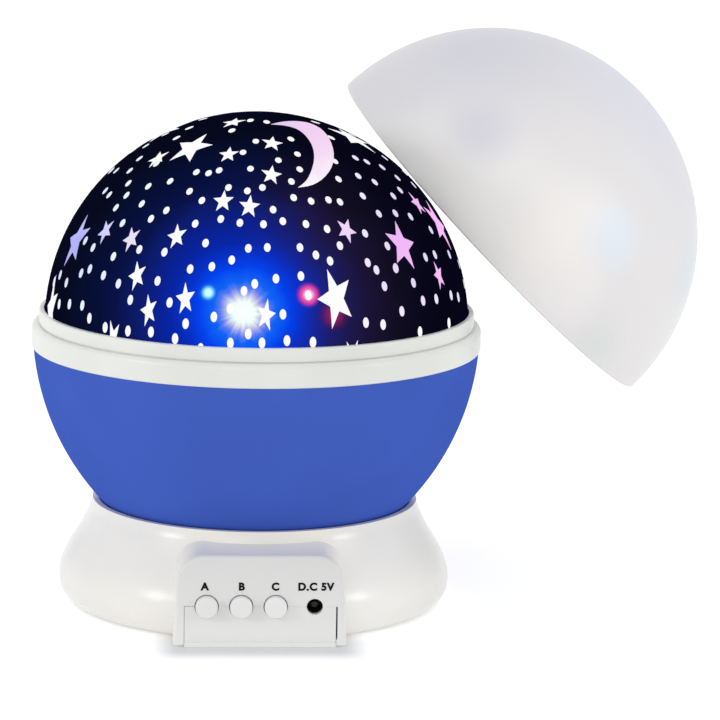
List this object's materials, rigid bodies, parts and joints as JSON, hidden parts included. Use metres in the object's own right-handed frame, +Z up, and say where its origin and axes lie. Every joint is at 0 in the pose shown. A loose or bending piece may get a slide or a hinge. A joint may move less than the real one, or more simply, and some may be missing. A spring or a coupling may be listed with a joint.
{
  "type": "star night light projector",
  "caption": "Star night light projector: a blue bowl and star dome turn on a white foot with three push buttons and a DC socket; its milky cover is lifted off.",
  "frame": {"origin": "on the table under the middle of the foot, at the underside of the rubber ring", "axes": "+Z up along the axis that the ball turns on, -Y out of the front panel with the buttons and the DC socket, +X to the right seen from the front"},
  "size_m": [0.2021, 0.1978, 0.16],
  "materials": {
    "foot_white": "smooth moulded white ABS with a light satin gloss",
    "bowl_blue": "satin royal blue moulded plastic",
    "ring_white": "smooth moulded white ABS",
    "dome_dark": "glossy dark film with clear stars, moon and dots lit from inside",
    "cover_milk": "pearly translucent polypropylene",
    "button_white": "fine moulded white",
    "socket_black": "black nylon",
    "rubber_grey": "soft grey rubber",
    "steel": "zinc plated",
    "nickel": "nickel plated spring strip",
    "brass_pin": "plated brass",
    "board_green": "green solder mask on glass-epoxy",
    "led_warm_white": "clear epoxy, lit warm white",
    "led_red": "clear epoxy, lit red",
    "led_green": "clear epoxy, lit green",
    "led_blue": "clear epoxy, lit blue",
    "gear_nylon": "natural acetal",
    "post_white": "white ABS, unpolished inside part",
    "cell_jacket": "plain dark cell jacket",
    "motor_can": "zinc plated can",
    "lead_grey": "round four-core lead in PVC"
  },
  "bodies": {
    "foot": {"base_shell": "foot_white", "bottom_cover": "foot_white", "foot_ring": "rubber_grey", "base_screws": "steel", "battery_springs": "nickel", "battery_contacts_front": "nickel", "battery_contacts_back": "nickel", "control_board": "board_green", "led_board": "board_green", "dc_socket": "socket_black", "dc_socket_pin": "brass_pin", "thrust_washer": "gear_nylon", "led_post": "post_white", "post_screws": "steel", "led_board_screws": "steel", "led_lead": "lead_grey", "gearbox": "gear_nylon", "drive_motor": "motor_can", "motor_screws": "steel", "battery_1": "cell_jacket", "battery_2": "cell_jacket", "battery_3": "cell_jacket", "battery_4": "cell_jacket", "switch_a": "socket_black", "switch_b": "socket_black", "switch_c": "socket_black", "led_warm_white": "led_warm_white", "led_red": "led_red", "led_green": "led_green", "led_blue": "led_blue"},
    "ball": {"bowl": "bowl_blue", "drive_gear": "gear_nylon", "gear_screws": "steel", "ring": "ring_white", "star_dome": "dome_dark"},
    "pinion": {"drive_pinion": "gear_nylon", "motor_shaft": "steel"},
    "cover": {"milky_cover": "cover_milk"},
    "battery_door": {"battery_door": "foot_white", "door_screw": "steel"},
    "button_a": {"button_a": "button_white", "switch_plunger_a": "socket_black"},
    "button_b": {"button_b": "button_white", "switch_plunger_b": "socket_black"},
    "button_c": {"button_c": "button_white", "switch_plunger_c": "socket_black"}
  },
  "joints": [
    {"name": "ball_turn", "type": "hinge", "parent": "foot", "child": "ball", "pos_m": [0, 0, 0.0248], "axis": [0, 0, 1], "continuous": true},
    {"name": "pinion_turn", "type": "hinge", "parent": "foot", "child": "pinion", "pos_m": [0, 0.0304, 0.0222], "axis": [0, 0, 1], "continuous": true},
    {"name": "cover_lift", "type": "slide", "parent": "foot", "child": "cover", "axis": [0.7111, -0.036, 0.7022], "range_m": [0, 0.05]},
    {"name": "battery_door_swing", "type": "hinge", "parent": "foot", "child": "battery_door", "pos_m": [0, 0.0179, 0.0005], "axis": [1, 0, 0], "range_deg": [0, 90]},
    {"name": "button_a_press", "type": "slide", "parent": "foot", "child": "button_a", "axis": [0, 1, 0], "range_m": [0, 0.001], "stiffness_N_per_m": 300, "springref_m": -0.0005},
    {"name": "button_b_press", "type": "slide", "parent": "foot", "child": "button_b", "axis": [0, 1, 0], "range_m": [0, 0.001], "stiffness_N_per_m": 300, "springref_m": -0.0005},
    {"name": "button_c_press", "type": "slide", "parent": "foot", "child": "button_c", "axis": [0, 1, 0], "range_m": [0, 0.001], "stiffness_N_per_m": 300, "springref_m": -0.0005}
  ],
  "couplings": [
    {"joint": "pinion_turn", "follows": "ball_turn", "ratio": -5.3333}
  ]
}
